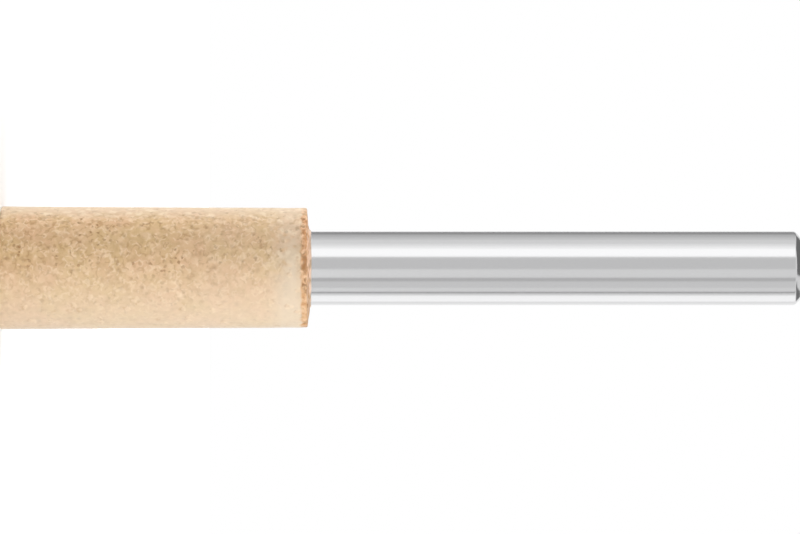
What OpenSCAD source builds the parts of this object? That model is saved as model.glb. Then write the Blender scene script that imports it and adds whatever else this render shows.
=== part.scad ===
// Cylindrical mounted point: a bonded abrasive body cemented on a plain steel shank.
// It stands on the body's flat front face, with the shank pointing up. Millimetres.

/* [Grinding body] */
// Diameter of the grinding body
body_d = 10; // [9:0.5:20]
// Length of the grinding body's side, from the front face to the rear rim
body_l = 25; // [22:1:40]
// Height of the rear face's slight crown above the rear rim
crown_h = 0.2; // [0.05:0.05:0.6]
// Width of the slight bevel round both end edges of the body
body_bevel = 0.15; // [0.05:0.05:0.5]

/* [Shank] */
// Diameter of the shank that the collet grips
shank_d = 6; // [5.5:0.5:8]
// Free length of the shank, from the body's rear rim to the shank's end
shank_l = 40; // [25:1:80]
// Width of the 45 degree chamfer at the shank's free end
shank_chamfer = 0.5; // [0.2:0.1:1]

/* [Spigot] */
// Diameter of the thinner end of the shank inside the body
spigot_d = 4; // [3:0.1:4.5]
// Depth of the spigot's end below the body's rear rim
spigot_l = 18; // [10:1:20]
// Width of the 45 degree chamfer at the spigot's end
spigot_chamfer = 0.4; // [0.2:0.1:0.8]
// Number of ring grooves that key the spigot into the cement
groove_count = 5; // [2:1:8]
// Width of one ring groove along the axis
groove_w = 1; // [0.5:0.1:1.2]
// Depth of one ring groove
groove_depth = 0.3; // [0.1:0.05:0.5]

/* [Cement] */
// Thickness of the cement film between the shank and the body
cement_film = 0.1; // [0.05:0.01:0.2]
// Radius of the rounded cement bead round the shank's root
bead_r = 0.3; // [0.25:0.05:0.8]

/* [Hidden] */
$fn = 96;

body_r = body_d / 2;
shank_r = shank_d / 2;
spigot_r = spigot_d / 2;
bore_r = spigot_r + cement_film;
// The crown ends in a flat seat that just holds the bead
seat_r = shank_r + bead_r;

// Heights along the axis, from the front face up
spigot_end_z = body_l - spigot_l;
bore_floor_z = spigot_end_z - cement_film;
seat_z = body_l + crown_h;
shoulder_z = seat_z + cement_film;
bead_top_z = seat_z + bead_r;
shank_end_z = body_l + shank_l;

// The shoulder's edge is bevelled as high as the bead that fills the bevel
shoulder_bevel = bead_top_z - shoulder_z;

// The grooves share the spigot's length evenly
groove_pitch = spigot_l / (groove_count + 1);

// Half section of the body, with its crowned rear face and blind bore
module body_section() {
    polygon([
        [0, 0],
        [body_r - body_bevel, 0],
        [body_r, body_bevel],
        [body_r, body_l - body_bevel],
        [body_r - body_bevel, body_l],
        [seat_r, seat_z],
        [bore_r, seat_z],
        [bore_r, bore_floor_z],
        [0, bore_floor_z],
    ]);
}

// Half section of one ring groove, its middle at height z
module groove_section(z) {
    translate([spigot_r - groove_depth, z - groove_w / 2])
        square([groove_depth + cement_film, groove_w]);
}

// Half section of the shank, with its grooved spigot and bevelled shoulder
module shank_section() {
    difference() {
        polygon([
            [0, spigot_end_z],
            [spigot_r - spigot_chamfer, spigot_end_z],
            [spigot_r, spigot_end_z + spigot_chamfer],
            [spigot_r, shoulder_z],
            [shank_r - shoulder_bevel, shoulder_z],
            [shank_r, bead_top_z],
            [shank_r, shank_end_z - shank_chamfer],
            [shank_r - shank_chamfer, shank_end_z],
            [0, shank_end_z],
        ]);
        for (i = [1 : groove_count])
            groove_section(spigot_end_z + i * groove_pitch);
    }
}

// Half section of all the room that the cement and the shank fill together, up to the bead's top
module bond_section() {
    translate([0, bore_floor_z]) square([bore_r, seat_z - bore_floor_z]);
    translate([0, seat_z]) square([shank_r, bead_r]);
    translate([shank_r, seat_z]) intersection() {
        circle(r = bead_r);
        square(bead_r);
    }
}

// The abrasive cylinder
module grinding_body() {
    color([0.86, 0.73, 0.58]) rotate_extrude() body_section();
}

// The turned steel shank
module shank() {
    color([0.78, 0.79, 0.80]) rotate_extrude() shank_section();
}

// The cement: film, groove fillings and the bead that shows at the shank's root
module cement() {
    color([0.90, 0.74, 0.62]) rotate_extrude() difference() {
        bond_section();
        shank_section();
    }
}

grinding_body();
shank();
cement();
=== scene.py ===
import math

import bmesh
import bpy
from mathutils import Matrix, Vector, noise


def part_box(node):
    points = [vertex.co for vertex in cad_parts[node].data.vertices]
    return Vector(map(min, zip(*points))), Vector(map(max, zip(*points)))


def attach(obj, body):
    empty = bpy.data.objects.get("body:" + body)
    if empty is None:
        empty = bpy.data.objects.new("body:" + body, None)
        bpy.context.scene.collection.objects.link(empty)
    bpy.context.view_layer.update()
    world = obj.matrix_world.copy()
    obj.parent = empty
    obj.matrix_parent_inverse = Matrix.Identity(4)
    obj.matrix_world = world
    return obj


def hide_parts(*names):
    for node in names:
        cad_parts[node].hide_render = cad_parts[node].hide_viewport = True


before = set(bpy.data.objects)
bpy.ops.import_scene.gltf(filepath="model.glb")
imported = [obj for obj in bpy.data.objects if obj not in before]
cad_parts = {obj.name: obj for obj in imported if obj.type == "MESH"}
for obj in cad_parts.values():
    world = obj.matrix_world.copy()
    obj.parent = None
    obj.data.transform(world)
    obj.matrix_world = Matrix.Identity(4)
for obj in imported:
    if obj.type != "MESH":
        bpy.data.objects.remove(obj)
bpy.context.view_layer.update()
scene = bpy.context.scene
scene.view_settings.view_transform = "Standard"
mm = 0.001
noise.seed_set(3)  # the bends of the hollows follow it, and change from run to run without it
slack = 0.001  # share of a size, when two sizes are compared
weld = 1e-4 * mm  # points that are closer become one
white = (1, 1, 1, 1)

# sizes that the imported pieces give
bodyBox, shankBox, cementBox = (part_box(node) for node in ("grinding_body", "shank", "cement"))
bodyRadius = max(bodyBox[1].x, bodyBox[1].y)
seatHeight = bodyBox[1].z  # top of the crowned rear face
shankRadius = max(shankBox[1].x, shankBox[1].y)
spigotEnd = shankBox[0].z
shankEnd = shankBox[1].z
boreFloor = cementBox[0].z
beadRadius = cementBox[1].z - seatHeight
seatRadius = shankRadius + beadRadius

# sizes inside the joint, which no box gives
joint = {
    "spigotRadius": 2.0 * mm,
    "spigotBevel": 0.4 * mm,
    "film": 0.1 * mm,  # cement between steel and body
    "seatFilm": 0.02 * mm,  # the same under the shank's shoulder
    "grooves": 5,
    "grooveWidth": 1.0 * mm,
    "grooveDepth": 0.3 * mm,
}
boreRadius = joint["spigotRadius"] + joint["film"]
shoulder = seatHeight + joint["seatFilm"]
print("frame loaded, body radius", round(bodyRadius / mm, 3), "mm")


# camera: turned on its side, so the standing tool lies across the picture
camera = {
    "pictureWidth": 800,
    "pixelsPerMm": 12.31,
    "distance": 550 * mm,
    "height": 32.52 * mm,
    "aside": -0.099 * mm,
    "sensor": 36.0,
    "clip": (0.01, 20),
}


def placeCamera():
    data = bpy.data.cameras.new("camera")
    seat = bpy.data.objects.new("camera", data)
    scene.collection.objects.link(seat)
    right, up = Vector((0, 0, 1)), Vector((-1, 0, 0))  # picture right is up the tool
    turn = Matrix((right, up, right.cross(up))).transposed()
    place = Vector((camera["aside"], -camera["distance"], camera["height"]))
    seat.matrix_world = Matrix.Translation(place) @ turn.to_4x4()
    data.sensor_width = camera["sensor"]
    data.lens = camera["sensor"] * camera["pixelsPerMm"] * camera["distance"] / mm / camera["pictureWidth"]
    data.clip_start, data.clip_end = camera["clip"]
    scene.camera = seat


placeCamera()
print("camera placed")


def newMaterial(name):
    material = bpy.data.materials.new(name)
    material.use_nodes = True
    material.node_tree.nodes.clear()
    return material, material.node_tree


def newObject(name, bm, material):
    mesh = bpy.data.meshes.new(name)
    bm.to_mesh(mesh)
    bm.free()
    mesh.materials.append(material)
    made = bpy.data.objects.new(name, mesh)
    scene.collection.objects.link(made)
    return made


def addNode(tree, kind, **settings):
    node = tree.nodes.new(kind)
    for key, value in settings.items():
        if hasattr(node, key):
            setattr(node, key, value)
        else:
            node.inputs[key.replace("_", " ")].default_value = value
    return node


# a source is another node's output, or a fixed value
def feed(tree, socket, source):
    if isinstance(source, bpy.types.NodeSocket):
        tree.links.new(source, socket)
    else:
        socket.default_value = source


def addMath(tree, operation, *sources):
    node = addNode(tree, "ShaderNodeMath", operation=operation)
    for socket, source in zip(node.inputs, sources):
        feed(tree, socket, source)
    return node.outputs[0]


def addRamp(tree, source, low, high, first=0, last=1):
    node = addNode(tree, "ShaderNodeMapRange", From_Min=low, From_Max=high, To_Min=first, To_Max=last)
    feed(tree, node.inputs["Value"], source)
    return node.outputs[0]


def addBlend(tree, share, first, second):
    node = addNode(tree, "ShaderNodeMix", data_type="RGBA")
    for index, source in ((0, share), (6, first), (7, second)):  # the colour mix's own sockets
        feed(tree, node.inputs[index], source)
    return node.outputs[2]


def addNoise(tree, spot, scale, detail, roughness):
    node = addNode(tree, "ShaderNodeTexNoise", Scale=scale, Detail=detail, Roughness=roughness)
    feed(tree, node.inputs["Vector"], spot)
    return node.outputs["Fac"]


def addBump(tree, height, strength, distance):
    node = addNode(tree, "ShaderNodeBump", Distance=distance)
    feed(tree, node.inputs["Height"], height)
    feed(tree, node.inputs["Strength"], strength)
    return node


def objectSpot(tree):
    return tree.nodes.new("ShaderNodeTexCoord").outputs["Object"]


def showSurface(tree, shader):
    output = tree.nodes.new("ShaderNodeOutputMaterial")
    tree.links.new(shader.outputs[0], output.inputs["Surface"])


# the studio: white floor and background for the eye and for gloss and glass, soft light for the rest
studio = {
    "floorSide": 1.2,
    "floorColor": (0.86, 0.86, 0.86, 1),
    "floorLift": (0.22, 1.0),  # glow that brings the floor up to white, round the shadow and far off
    "floorClear": (40 * mm, 230 * mm),  # the glow rises from the first to the second, off the tool's axis
    "ambient": 0.25,
    "background": 1.0,
}


def seenRays(tree):
    path = tree.nodes.new("ShaderNodeLightPath")
    seen = addMath(tree, "MAXIMUM", path.outputs["Is Camera Ray"], path.outputs["Is Glossy Ray"])
    return addMath(tree, "MAXIMUM", seen, path.outputs["Is Transmission Ray"])


def makeWorld():
    world = bpy.data.worlds.new("studio")
    world.use_nodes = True
    scene.world = world
    tree = world.node_tree
    tree.nodes.clear()
    soft = addNode(tree, "ShaderNodeBackground", Color=white, Strength=studio["ambient"])
    seen = addNode(tree, "ShaderNodeBackground", Color=white, Strength=studio["background"])
    mix = tree.nodes.new("ShaderNodeMixShader")
    output = tree.nodes.new("ShaderNodeOutputWorld")
    for socket, source in zip(mix.inputs, (seenRays(tree), soft.outputs[0], seen.outputs[0])):
        tree.links.new(source, socket)
    tree.links.new(mix.outputs[0], output.inputs["Surface"])


def makeFloor():
    bm = bmesh.new()
    bmesh.ops.create_grid(bm, x_segments=1, y_segments=1, size=studio["floorSide"] / 2)
    floor = newObject("floor", bm, paleFloor())


def paleFloor():
    material, tree = newMaterial("paleFloor")
    far = addNode(tree, "ShaderNodeVectorMath", operation="LENGTH")
    tree.links.new(objectSpot(tree), far.inputs[0])
    rise = addRamp(tree, far.outputs["Value"], *studio["floorClear"], *studio["floorLift"])
    paper = addNode(tree, "ShaderNodeBsdfDiffuse", Color=studio["floorColor"])
    glow = addNode(tree, "ShaderNodeEmission", Color=white)
    tree.links.new(addMath(tree, "MULTIPLY", seenRays(tree), rise), glow.inputs["Strength"])
    both = tree.nodes.new("ShaderNodeAddShader")
    tree.links.new(paper.outputs[0], both.inputs[0])
    tree.links.new(glow.outputs[0], both.inputs[1])
    showSurface(tree, both)
    return material


# soft boxes, in degrees and mm: the angle runs from the camera round the picture's upper side
softBoxes = {
    "key": {"angle": -56, "distance": 250, "height": 65, "size": (160, 240), "glow": 2.65},
    "front": {"angle": -14, "distance": 250, "height": 65, "size": (160, 240), "glow": 1.83},
    "upper": {"angle": 116, "distance": 250, "height": 65, "size": (160, 240), "glow": 6.8},
    "overhead": {"angle": -80, "distance": 60, "height": 330, "size": (160, 240), "glow": 3.6},
}


def roundTool(angle, distance, height):
    turn = math.radians(angle)
    return Vector((-math.sin(turn) * distance, -math.cos(turn) * distance, height))


def makeSoftBoxes():
    aim = Vector((0, 0, seatHeight))
    for name, box in softBoxes.items():
        data = bpy.data.lights.new(name, "AREA")
        data.shape = "RECTANGLE"
        data.size, data.size_y = (side * mm for side in box["size"])
        data.energy = box["glow"] * math.pi * data.size * data.size_y
        lamp = bpy.data.objects.new(name, data)
        scene.collection.objects.link(lamp)
        lamp.location = roundTool(box["angle"], box["distance"] * mm, box["height"] * mm)
        lamp.rotation_euler = (aim - lamp.location).to_track_quat("-Z", "Y").to_euler()
        lamp.visible_glossy = False  # the panels below are what the steel mirrors


# panels that only gloss shows: strips that lie and stand round the tool, and dark flags above it
panels = {
    "radius": (20 * mm, 170 * mm),  # they lie on the floor from the first to the second, and stand there
    "height": (0.5 * mm, 140 * mm),
    "steps": 12,
    "strips": {
        "backDark": {"angles": (137, 155), "glow": 0.36},
        "backDim": {"angles": (126, 137), "glow": 0.53},
        "backGrey": {"angles": (112, 126), "glow": 0.72},
        "backPale": {"angles": (100, 112), "glow": 0.86},
        "upperSoft": {"angles": (72, 81), "glow": 1.18},
        "upperFade": {"angles": (63, 72), "glow": 1.36},
        "upperBright": {"angles": (36, 63), "glow": 1.58},
        "frontGrey": {"angles": (-3, 33.5), "glow": 0.83},
        "lowerLine": {"angles": (-41, -29.5), "glow": 0.67},
        "lowerGrey": {"angles": (-64, -41), "glow": 0.885},
        "sideLine": {"angles": (-85, -78.5), "glow": 0.51},
        "lowerBright": {"angles": (-128, -94), "glow": 1.45},
        "lowerEnd": {"angles": (-165, -128), "glow": 1.12},
    },
    "flagHeight": 300 * mm,
    "flagGlow": 0.22,
    "flags": {"overTool": (-300, 50), "besideTool": (138, 300)},  # their reach along x, in mm
    "flagDepth": (-100, 450),  # and along y
}


def glowPanel(name, bm, glow):
    material, tree = newMaterial(name)
    showSurface(tree, addNode(tree, "ShaderNodeEmission", Color=white, Strength=glow))
    panel = newObject(name, bm, material)
    panel.visible_camera = False
    panel.visible_diffuse = False
    panel.visible_shadow = False


def makePanels():
    (inner, outer), (low, high) = panels["radius"], panels["height"]
    for name, strip in panels["strips"].items():
        start, end = strip["angles"]
        bm = bmesh.new()
        outline = ((inner, low), (outer, low), (outer, high))
        corners = [bm.verts.new(roundTool(start, *corner)) for corner in outline]
        for pair in zip(corners, corners[1:]):
            bm.edges.new(pair)
        bmesh.ops.spin(bm, geom=bm.verts[:] + bm.edges[:], axis=(0, 0, 1), cent=(0, 0, 0),
                       angle=math.radians(start - end), steps=panels["steps"])
        glowPanel(name, bm, strip["glow"])
    near, far = panels["flagDepth"]
    for name, (left, right) in panels["flags"].items():
        bm = bmesh.new()
        corners = ((left, near), (right, near), (right, far), (left, far))
        bm.faces.new([bm.verts.new((x * mm, y * mm, panels["flagHeight"])) for x, y in corners])
        glowPanel(name, bm, panels["flagGlow"])


makeWorld()
makeFloor()
makeSoftBoxes()
makePanels()
print("studio lit")


# a turned shape: corners are (radius, height, spacing of the rings on the way there)
def lathe(corners, steps):
    bm = bmesh.new()
    for start, end in zip(corners, corners[1:]):
        ends = [bm.verts.new((radius, 0, height)) for radius, height, _ in (start, end)]
        edge = bm.edges.new(ends)
        rings = round(edge.calc_length() / end[2]) if end[2] else 1
        if rings > 1:
            bmesh.ops.subdivide_edges(bm, edges=[edge], cuts=rings - 1)
    bmesh.ops.remove_doubles(bm, verts=bm.verts, dist=weld)
    bmesh.ops.spin(bm, geom=bm.verts[:] + bm.edges[:], axis=(0, 0, 1), cent=(0, 0, 0),
                   angle=2 * math.pi, steps=steps, use_merge=True)
    bmesh.ops.remove_doubles(bm, verts=bm.verts, dist=weld)
    bmesh.ops.recalc_face_normals(bm, faces=bm.faces)
    return bm


# sharp is the angle in degrees past which an edge isn't shaded round
def finishPiece(name, bm, material, node, sharp):
    piece = newObject(name, bm, material)
    piece.data.shade_smooth()
    piece.data.set_sharp_from_angle(angle=math.radians(sharp))
    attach(piece, "root")
    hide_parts(node)
    print(name, len(piece.data.polygons), "faces")


def smoothStep(low, high, value):
    share = min(1.0, max(0.0, (value - low) / (high - low)))
    return share * share * (3 - 2 * share)


# the abrasive body: bonded grain with hollows and short fibres, dusty towards the rear rim, rough behind,
# with painted sheen on the picture's lower side and upper edge
# reaches before the rear rim go from none to full, and so do pairs across the body, which are in radii
abrasive = {
    "steps": 300,
    "ring": 0.107 * mm,
    "faceRing": 0.11 * mm,
    "sharp": 50,
    "crown": 0.17 * mm,
    "edge": 0.16 * mm,  # radius of the two worn edges
    "wear": 0.015 * mm,  # off the side
    "taper": 0.125 * mm,  # the rear rim's radius is smaller by this
    "runout": Vector((-0.035 * mm, 0, 0)),  # the body sits so far off the shank's axis
    "sag": 0.15 * mm,  # the crown is lower on one side
    "sagSide": Vector((-0.85, 0.53, 0)),
    "skew": 0.16 * mm,  # the front face's edge lies so much higher on one side
    "skewSide": Vector((-1, 0, 0)),
    "skewReach": 1 * mm,  # up the side
    "relief": {
        "lump": (1.6 * mm, 0.012 * mm),  # size, height
        "grain": (0.32 * mm, 0.026 * mm),
        "turning": (0.16 * mm, 0.006 * mm),
        "turningRow": 5,  # the row of the noise that it follows
        "hollow": (0.80 * mm, 0.34, 0.09 * mm),  # cell, reach in cells, depth
        "hollowBend": (0.45, 0.26),  # size and strength of the bends in its edge, in cells
        "hollowFloor": 0.3,  # share of its reach
        "crowd": (2.2 * mm, 0.85, 0.6, 0.3),  # how the hollows' reach changes: size, mean, swing, least
        "crowdShift": Vector((3, 1, 7)),
        "dustAndSheenFill": 0.7,  # dust and the painted sheen even out so much of it
    },
    "raw": {  # the rough rear
        "start": 0.60 * mm,  # before the rim
        "wander": (0.45 * mm, 0.13 * mm),  # size and strength of the bends in its front edge
        "fade": 0.24 * mm,
        "corner": (0.65, 0.80, 0.95),  # the upper corner has less of it: share, and where across
        "grain": (0.42 * mm, 0.045 * mm, 0.3),  # size, height, share of the height that lies below
        "hollow": (0.9 * mm, 0.42, 0.13 * mm),
        "shift": Vector((-1.6 * mm, 0.43 * mm, 3 * mm)),  # of its hollows
    },
    # dust near the rear rim, and painted sheen: pale colour where the lamps light the picture's lower side
    # and upper edge
    "dustAndSheen": {
        "reach": (3.7 * mm, 0.9 * mm),  # before the rim
        "lean": 0.6,  # more of it towards the picture's lower side, which is painted sheen where the key lamp lights the body
        "rubbed": (0.4, 1.05 * mm, 0.7 * mm),  # share that is off again beside the rim
        "patch": (0.5 * mm, 0.1, 1.7),  # bare patches in it: size, mean, swing
        "patchEnds": ((0.3, -0.1), (-0.85, -0.5)),  # where across they start and stop
        "veil": (0.14, 11 * mm, 7 * mm),  # fainter dust, further from the rim
        "aside": 0.7,  # painted sheen along the picture's lower side and upper edge, where the lamps light the body at a slant
        "sides": ((-0.35, 1.1), (-0.74, -0.97)),
    },
    "skin": {  # patterns have their scale per metre and their shift in mm
        "gloss": 0.5,
        "sheen": (0.35, 0.25, (0.93, 0.97, 1, 1)),  # weight, roughness, tint
        "bare": (0, 0.6, 1, 0.3),  # how patterns fade or come as the dust and painted sheen get thicker
        "fibreFade": (0, 0.7, 1, 0.4),
        "underDustAndSheen": (0.1, 0.4, 0, 1),
        "upper": (-0.2, 0.15),  # across, where the upper part ends and the painted shade on the rear's lower side starts
        "rearLowerShade": (-0.1, 0.6),
        "crowdShare": (0.15, 1),  # how many pores show, from few to many
        "crowding": {"scale": 420, "detail": 2, "roughness": 0.5, "shift": 2, "limits": (0.42, 0.6)},
        "tone": {"scale": 380, "detail": 2, "roughness": 0.5, "limits": (0.38, 0.62)},
        "blotches": {"scale": 1300, "detail": 2, "roughness": 0.55, "limits": (0.44, 0.68)},
        "grain": {"scale": 4200, "detail": 2, "roughness": 0.6, "limits": (0.45, 0.7)},
        "fibres": {"scale": 1900, "width": 0.09, "shift": 11},
        "furrows": {"scale": 1700, "width": 0.085, "shift": 23},
        "strand": {"detail": 1, "roughness": 0.4, "middle": 0.5, "core": 0.2},  # core is of the width
        "breaks": {"scale": 1.2, "detail": 0, "roughness": 0.5, "shift": 5},  # scale is of the strand's
        "breakLimits": (0.48, 0.6),
        "pores": {"cell": 0.62 * mm, "reach": 0.27, "shift": 31, "rags": 2},
        "clumps": {"cell": 0.85 * mm, "reach": 0.5, "shift": 51, "rags": 2},
        # flecks painted as small raised bits: a pale lit side, and its painted shadow beside it
        "paintedLitFlecks": {"cell": 1.25 * mm, "reach": 0.25, "shift": 41, "rags": 3},
        "paintedFleckShadows": {"cell": 1.25 * mm, "reach": 0.25, "shift": 41.1, "rags": 3},  # painted shadows, shifted beside the lit flecks
        "pit": {"detail": 1, "roughness": 0.5, "core": 0.4},  # core is of the reach
        "pitRag": (0.25, 0.75, -0.2, 0.2),
        "crumbs": {"scale": 1800, "detail": 3, "roughness": 0.6, "limits": (0.38, 0.62)},
        "gaps": {"scale": 1300, "detail": 3, "roughness": 0.6, "limits": (0.46, 0.36),
                 "shift": (5.4, -6.57, 7)},
        # where the painted shade in the rear's hollows starts and is full
        "rearHollowShade": (0.1, 0.9),
        "tans": ((0.695, 0.475, 0.240, 1), (0.728, 0.470, 0.268, 1)),
        "sideLayers": {  # full share and colour of each pattern, laid over one another
            "blotches": (0.5, (0.54, 0.335, 0.155, 1)),
            "grain": (0.17, (0.88, 0.67, 0.43, 1)),
            "clumps": (0.45, (0.88, 0.65, 0.42, 1)),
            "fibres": (0.48, (0.93, 0.73, 0.50, 1)),
            "furrows": (0.5, (0.45, 0.235, 0.09, 1)),
            "pores": (0.8, (0.34, 0.155, 0.045, 1)),
            # painted shade: darker colour in the hollows
            "hollow": (0.35, (0.38, 0.21, 0.09, 1)),
            # pale dust near the rear rim, and painted sheen on the picture's lower side and upper edge
            "dustAndSheen": (0.68, (0.785, 0.675, 0.535, 1)),
            "patches": (0.4, (0.90, 0.76, 0.58, 1)),
            "specks": (0.4, (0.42, 0.25, 0.12, 1)),
            # painted shadow and painted highlight of the flecks
            "paintedFleckShadows": (0.42, (0.57, 0.36, 0.19, 1)),
            "paintedLitFlecks": (0.38, (0.93, 0.75, 0.54, 1)),
        },
        "oranges": ((0.66, 0.33, 0.15, 1), (0.93, 0.63, 0.40, 1)),
        "rearLayers": {
            "gaps": (0.65, (0.34, 0.16, 0.06, 1)),
            # painted shade: dark colour in the rear face's hollows
            "rearHollowShade": (0.85, (0.24, 0.105, 0.035, 1)),
            # painted shade: darker, browner colour on the rear face's lower side, where the key lamp
            # lights it more
            "rearLowerShade": (0.35, (0.55, 0.34, 0.16, 1)),
        },
        "satin": {"scale": 2600, "detail": 3, "roughness": 0.6},
        "satinRange": (0.3, 0.7, 0.45, 0.65),
        "strandBump": (0.4, 0.04 * mm),  # strength, height
        "grit": {"scale": 4200, "detail": 3, "roughness": 0.6},
        "gritStrength": (0, 0.6, 0.14, 0.07),  # from bare to under dust and painted sheen
        "gritHeight": 0.03 * mm,
    },
}
rim = seatHeight - abrasive["crown"]


def rearSag(place):
    side = place.dot(abrasive["sagSide"]) / math.hypot(place.x, place.y)
    rise = smoothStep(rim - abrasive["edge"], seatHeight, place.z)
    return abrasive["sag"] * rise * max(0.0, side) ** 2


def makeAbrasiveBody():
    edge, faceRing = abrasive["edge"], abrasive["faceRing"]
    middle = edge * (1 - math.sqrt(0.5))  # of the arc round an edge
    side = bodyRadius - abrasive["wear"]
    rear = side - abrasive["taper"]
    bm = lathe([
        (0, 0, 0),
        (side - edge, 0, faceRing),
        (side - middle, middle, faceRing),
        (side, edge, faceRing),
        (rear, rim - edge, abrasive["ring"]),
        (rear - middle, rim - middle, faceRing),
        (rear - edge, rim, faceRing),
        (seatRadius, seatHeight, faceRing),
        (shankRadius, seatHeight, faceRing),
        (boreRadius, seatHeight, 0),
        (boreRadius, boreFloor, 0),
        (0, boreFloor, 0),
    ], abrasive["steps"])
    # the dust layer holds dust near the rear rim and painted sheen on the picture's lower side and upper
    # edge
    layers = {name: bm.verts.layers.float.new(name) for name in ("hollow", "dustAndSheen", "raw")}
    bm.normal_update()
    for vert in bm.verts:
        place = vert.co.copy()
        inFront = place.z <= abrasive["skewReach"]
        if not inFront and math.hypot(place.x, place.y) < shankRadius * (1 - slack):
            continue  # the bore stays true
        raw = rawAt(place)
        dustAndSheen = dustAndSheenAt(place) * (1 - raw)
        height, vert[layers["hollow"]] = skinRelief(place, raw, dustAndSheen)
        vert[layers["dustAndSheen"]] = dustAndSheen
        vert[layers["raw"]] = raw
        vert.co = place + vert.normal * height + abrasive["runout"]
        if inFront:
            aside = place.dot(abrasive["skewSide"]) / bodyRadius
            vert.co.z += abrasive["skew"] * max(0.0, aside) * (1 - place.z / abrasive["skewReach"])
        else:
            vert.co.z -= rearSag(place)
    finishPiece("abrasiveBody", bm, abrasiveSkin(), "grinding_body", abrasive["sharp"])


def rawAt(place):
    rear = abrasive["raw"]
    size, strength = rear["wander"]
    start = rim - rear["start"] + strength * noise.noise(place / size)
    less, low, high = rear["corner"]
    corner = smoothStep(low, high, -place.x / bodyRadius)
    return smoothStep(start, start + rear["fade"], place.z) * (1 - less * corner)


# dust near the rear rim, with painted sheen added towards the picture's lower side and along its upper
# edge
def dustAndSheenAt(place):
    dustAndSheen = abrasive["dustAndSheen"]
    across = place.x / bodyRadius

    def beforeRim(start, full):
        return smoothStep(rim - start, rim - full, place.z)

    behind = beforeRim(*dustAndSheen["reach"]) * (1 + dustAndSheen["lean"] * across)
    rubbed, *reach = dustAndSheen["rubbed"]
    behind *= 1 - rubbed * beforeRim(*reach)
    size, mean, swing = dustAndSheen["patch"]
    start, stop = dustAndSheen["patchEnds"]
    patchy = smoothStep(*start, across) * smoothStep(*stop, across)
    behind *= 1 - patchy * min(1.0, max(0.0, mean + swing * noise.noise(place / size)))
    veil, *reach = dustAndSheen["veil"]
    behind += veil * beforeRim(*reach) * (1 - behind)
    aside = sum(smoothStep(*side, across) for side in dustAndSheen["sides"])
    return min(1.0, behind + dustAndSheen["aside"] * aside * (1 - behind))


def hollowAt(place, cell, reach):
    size, strength = abrasive["relief"]["hollowBend"]
    bent = place + noise.noise_vector(place / (size * cell)) * strength * cell
    nearest = noise.voronoi(bent / cell)[0][0]
    return 1 - smoothStep(abrasive["relief"]["hollowFloor"] * reach, reach, nearest)


def skinRelief(place, raw, dustAndSheen):
    relief, rear = abrasive["relief"], abrasive["raw"]

    def bumps(size, height, below=0):
        return (noise.noise(place / size) - below) * height

    size, mean, swing, least = relief["crowd"]
    crowd = mean + swing * noise.noise(place / size + relief["crowdShift"])
    cell, reach, depth = relief["hollow"]
    hollow = hollowAt(place, cell, reach * max(least, crowd))
    size, height = relief["turning"]
    turning = noise.noise(Vector((place.z / size, 0, relief["turningRow"]))) * height
    smooth = 1 - relief["dustAndSheenFill"] * dustAndSheen
    side = bumps(*relief["lump"]) + (bumps(*relief["grain"]) - hollow * depth) * smooth + turning * dustAndSheen
    cell, reach, depth = rear["hollow"]
    rawHollow = hollowAt(place + rear["shift"], cell, reach)
    torn = bumps(*rear["grain"]) - rawHollow * depth
    return side * (1 - raw) + torn * raw, hollow * (1 - raw) + rawHollow * raw


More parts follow.
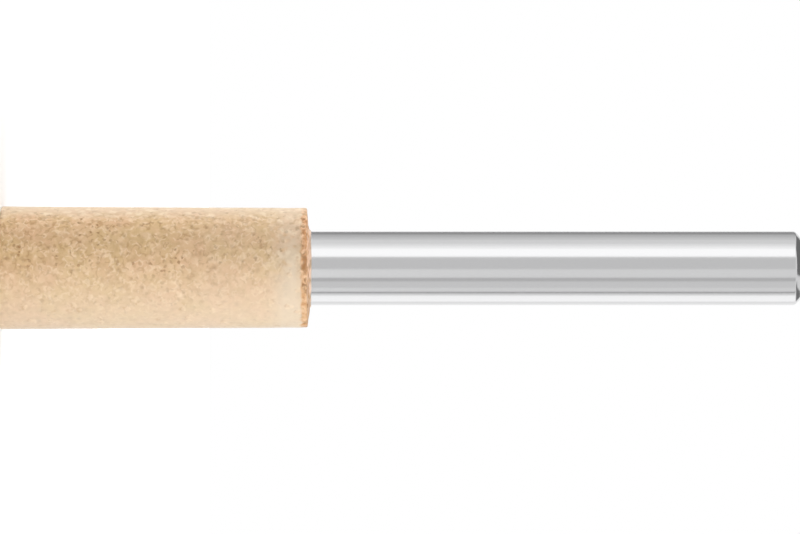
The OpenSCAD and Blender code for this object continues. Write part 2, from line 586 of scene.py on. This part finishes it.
def abrasiveSkin():
    skin = abrasive["skin"]
    material, tree = newMaterial("tanAbrasive")
    spot = objectSpot(tree)

    def drawn(name):
        return addNode(tree, "ShaderNodeAttribute", attribute_name=name).outputs["Fac"]

    def times(*shares):
        product = shares[0]
        for share in shares[1:]:
            product = addMath(tree, "MULTIPLY", product, share)
        return product

    def acrossBody(low, high):
        place = tree.nodes.new("ShaderNodeSeparateXYZ")
        tree.links.new(spot, place.inputs[0])
        return addRamp(tree, place.outputs["X"], low * bodyRadius, high * bodyRadius)

    def spotAt(shift):
        place = shift if isinstance(shift, tuple) else (shift, -shift, shift)
        moved = addNode(tree, "ShaderNodeMapping", Location=Vector(place) * mm)
        tree.links.new(spot, moved.inputs["Vector"])
        return moved.outputs[0]

    def noiseAt(scale, detail, roughness, shift=0):
        return addNoise(tree, spotAt(shift), scale, detail, roughness)

    def mottle(limits, **pattern):
        return addRamp(tree, noiseAt(**pattern), *limits)

    def strands(scale, width, shift):
        strand, breaks = skin["strand"], skin["breaks"]
        field = noiseAt(scale, strand["detail"], strand["roughness"], shift)
        away = addMath(tree, "ABSOLUTE", addMath(tree, "SUBTRACT", field, strand["middle"]))
        line = addRamp(tree, away, width, strand["core"] * width)
        breakScale, breakShift = breaks["scale"] * scale, breaks["shift"] + shift
        ends = noiseAt(breakScale, breaks["detail"], breaks["roughness"], breakShift)
        return times(line, addRamp(tree, ends, *skin["breakLimits"]))

    def pits(cell, reach, shift, rags):
        pit = skin["pit"]
        cells = addNode(tree, "ShaderNodeTexVoronoi", Scale=1 / cell)
        tree.links.new(spotAt(shift), cells.inputs["Vector"])
        rag = noiseAt(rags / cell, pit["detail"], pit["roughness"], shift)
        ragged = addMath(tree, "ADD", cells.outputs["Distance"], addRamp(tree, rag, *skin["pitRag"]))
        return addRamp(tree, ragged, reach, pit["core"] * reach)

    dustAndSheen, hollow, raw = drawn("dustAndSheen"), drawn("hollow"), drawn("raw")
    bare = addRamp(tree, dustAndSheen, *skin["bare"])
    underDustAndSheen = addRamp(tree, dustAndSheen, *skin["underDustAndSheen"])
    upper = acrossBody(*reversed(skin["upper"]))
    fibres = times(strands(**skin["fibres"]), addRamp(tree, dustAndSheen, *skin["fibreFade"]))
    furrows = times(strands(**skin["furrows"]), bare)
    crowd = addRamp(tree, mottle(**skin["crowding"]), 0, 1, *skin["crowdShare"])
    pores = times(pits(**skin["pores"]), crowd)
    clumps = pits(**skin["clumps"])
    patterns = {
        "blotches": mottle(**skin["blotches"]),
        "grain": times(mottle(**skin["grain"]), bare),
        "clumps": times(clumps, bare),
        "fibres": fibres,
        "furrows": furrows,
        "pores": times(pores, bare),
        # mask of the hollows, for their painted shade
        "hollow": hollow,
        "dustAndSheen": dustAndSheen,
        "patches": times(clumps, underDustAndSheen, upper),
        "specks": times(pores, underDustAndSheen, upper),
        # the flecks' painted shadow and lit side, where dust and painted sheen lie
        "paintedFleckShadows": times(pits(**skin["paintedFleckShadows"]), underDustAndSheen),
        "paintedLitFlecks": times(pits(**skin["paintedLitFlecks"]), underDustAndSheen),
        "gaps": mottle(**skin["gaps"]),
        "rearHollowShade": addRamp(tree, hollow, *skin["rearHollowShade"]),
        "rearLowerShade": acrossBody(*skin["rearLowerShade"]),
    }

    def painted(color, layers):
        for name, (share, paint) in layers.items():
            color = addBlend(tree, addRamp(tree, patterns[name], 0, 1, 0, share), color, paint)
        return color

    tan = painted(addBlend(tree, mottle(**skin["tone"]), *skin["tans"]), skin["sideLayers"])
    orange = painted(addBlend(tree, mottle(**skin["crumbs"]), *skin["oranges"]), skin["rearLayers"])
    satin = addRamp(tree, noiseAt(**skin["satin"]), *skin["satinRange"])
    lines = addBump(tree, addMath(tree, "SUBTRACT", fibres, furrows), *skin["strandBump"])
    gritStrength = addRamp(tree, dustAndSheen, *skin["gritStrength"])
    grit = addBump(tree, noiseAt(**skin["grit"]), gritStrength, skin["gritHeight"])
    weight, roughness, tint = skin["sheen"]
    shade = addNode(tree, "ShaderNodeBsdfPrincipled", Specular_IOR_Level=skin["gloss"],
                    Sheen_Weight=weight, Sheen_Roughness=roughness, Sheen_Tint=tint)
    tree.links.new(addBlend(tree, raw, tan, orange), shade.inputs["Base Color"])
    tree.links.new(addMath(tree, "MAXIMUM", satin, raw), shade.inputs["Roughness"])
    tree.links.new(lines.outputs[0], grit.inputs["Normal"])
    tree.links.new(grit.outputs[0], shade.inputs["Normal"])
    showSurface(tree, shade)
    return material


makeAbrasiveBody()


# the steel shank: ground round, with a chamfered end
steel = {
    "steps": 256,
    "ring": 2 * mm,
    "sharp": 35,
    "chamfer": 0.43 * mm,
    "edge": 0.12 * mm,  # how far the chamfer's two edges are rounded
    "edgeSegments": 4,
    "edgeAngle": 30,  # degrees, at least
    "color": (0.605, 0.605, 0.61, 1),
    "markScale": (30, 30, 9000),  # marks run round the shank
    "marks": {"scale": 1, "detail": 3, "roughness": 0.6},
    "roughness": (0.10, 0.19),
    "markBump": (0.12, 0.002 * mm),  # strength, height
}


def spigotOutline():
    radius, bevel = joint["spigotRadius"], joint["spigotBevel"]
    inner = radius - joint["grooveDepth"]
    pitch = (rim - spigotEnd) / (joint["grooves"] + 1)
    outline = [(radius - bevel, spigotEnd, 0), (radius, spigotEnd + bevel, 0)]
    for index in range(joint["grooves"]):
        low = spigotEnd + (index + 1) * pitch - joint["grooveWidth"] / 2
        high = low + joint["grooveWidth"]
        outline += [(radius, low, 0), (inner, low, 0), (inner, high, 0), (radius, high, 0)]
    return outline + [(radius, shoulder, 0)]


def makeShank():
    bm = lathe([
        (0, spigotEnd, 0),
        *spigotOutline(),
        (shankRadius, shoulder, 0),
        (shankRadius, shankEnd - steel["chamfer"], steel["ring"]),
        (shankRadius - steel["chamfer"], shankEnd, 0),
        (0, shankEnd, 0),
    ], steel["steps"])
    chamferEdges = [
        edge for edge in bm.edges
        if edge.is_manifold and edge.calc_face_angle() > math.radians(steel["edgeAngle"])
        and min(vert.co.z for vert in edge.verts) > shankEnd - 2 * steel["chamfer"]
    ]
    bmesh.ops.bevel(bm, geom=chamferEdges, offset=steel["edge"], affect="EDGES",
                    segments=steel["edgeSegments"], profile=0.5, material=-1)
    finishPiece("steelShank", bm, groundSteel(), "shank", steel["sharp"])


def groundSteel():
    material, tree = newMaterial("groundSteel")
    stretch = addNode(tree, "ShaderNodeMapping", Scale=steel["markScale"])
    tree.links.new(objectSpot(tree), stretch.inputs["Vector"])
    marks = addNoise(tree, stretch.outputs[0], **steel["marks"])
    bump = addBump(tree, marks, *steel["markBump"])
    shade = addNode(tree, "ShaderNodeBsdfPrincipled", Base_Color=steel["color"], Metallic=1)
    tree.links.new(addRamp(tree, marks, 0, 1, *steel["roughness"]), shade.inputs["Roughness"])
    tree.links.new(bump.outputs[0], shade.inputs["Normal"])
    showSurface(tree, shade)
    return material


makeShank()


# the cement: film round the spigot and an uneven bead at the shank's root
cement = {
    "steps": 200,
    "arcs": 8,
    "sharp": 40,
    "height": 0.16 * mm,
    "sunk": 0.06 * mm,  # its outer edge, into the rough face
    "dip": 0.06 * mm,  # it climbs the shank less at the picture's top and bottom
    "width": (0.22 * mm, 0.04 * mm),  # the bead's mean width, and how much more it has on one side
    "leastWidth": 0.02 * mm,
    "wobble": (0.6 * mm, 0.04 * mm),  # size, height
    "colors": ((0.50, 0.34, 0.20, 1), (0.90, 0.67, 0.52, 1)),
    "mottle": {"scale": 900, "detail": 3, "roughness": 0.6},
    "mottleLimits": (0.32, 0.52),
    "roughness": 0.45,
    "bump": (0.4, 0.03 * mm),  # strength, height
}


def makeCement():
    arc = [
        (shankRadius + beadRadius * math.cos(turn), seatHeight + cement["height"] * math.sin(turn), 0)
        for turn in (math.pi / 2 * index / cement["arcs"] for index in range(cement["arcs"] + 1))
    ]
    bm = lathe([
        (0, boreFloor, 0),
        (boreRadius, boreFloor, 0),
        (boreRadius, seatHeight, 0),
        *arc,
        (shankRadius, shoulder, 0),
        *reversed(spigotOutline()),
        (0, spigotEnd, 0),
    ], cement["steps"])
    mean, more = cement["width"]
    size, lift = cement["wobble"]
    for vert in bm.verts:
        radius = math.hypot(vert.co.x, vert.co.y)
        outside = radius > shankRadius * (1 + slack)
        onShank = radius > shankRadius * (1 - slack) and vert.co.z > shoulder * (1 + slack)
        if not outside and not onShank:
            continue  # the film stays true
        aside = vert.co.x / radius
        share = (radius - shankRadius) / beadRadius  # of the way from the shank to the outer edge
        width = mean + more * aside + noise.noise(vert.co / size) * lift
        wide = shankRadius + max(width, cement["leastWidth"]) * share
        sag = (rearSag(vert.co) + cement["sunk"]) * share + cement["dip"] * aside ** 2 * (1 - share)
        vert.co.x *= wide / radius
        vert.co.y *= wide / radius
        vert.co.z += noise.noise(vert.co / size) * lift - sag
    finishPiece("cementBead", bm, driedCement(), "cement", cement["sharp"])


def driedCement():
    material, tree = newMaterial("driedCement")
    mottle = addNoise(tree, objectSpot(tree), **cement["mottle"])
    color = addBlend(tree, addRamp(tree, mottle, *cement["mottleLimits"]), *cement["colors"])
    bump = addBump(tree, mottle, *cement["bump"])
    shade = addNode(tree, "ShaderNodeBsdfPrincipled", Roughness=cement["roughness"])
    tree.links.new(color, shade.inputs["Base Color"])
    tree.links.new(bump.outputs[0], shade.inputs["Normal"])
    showSurface(tree, shade)
    return material


makeCement()
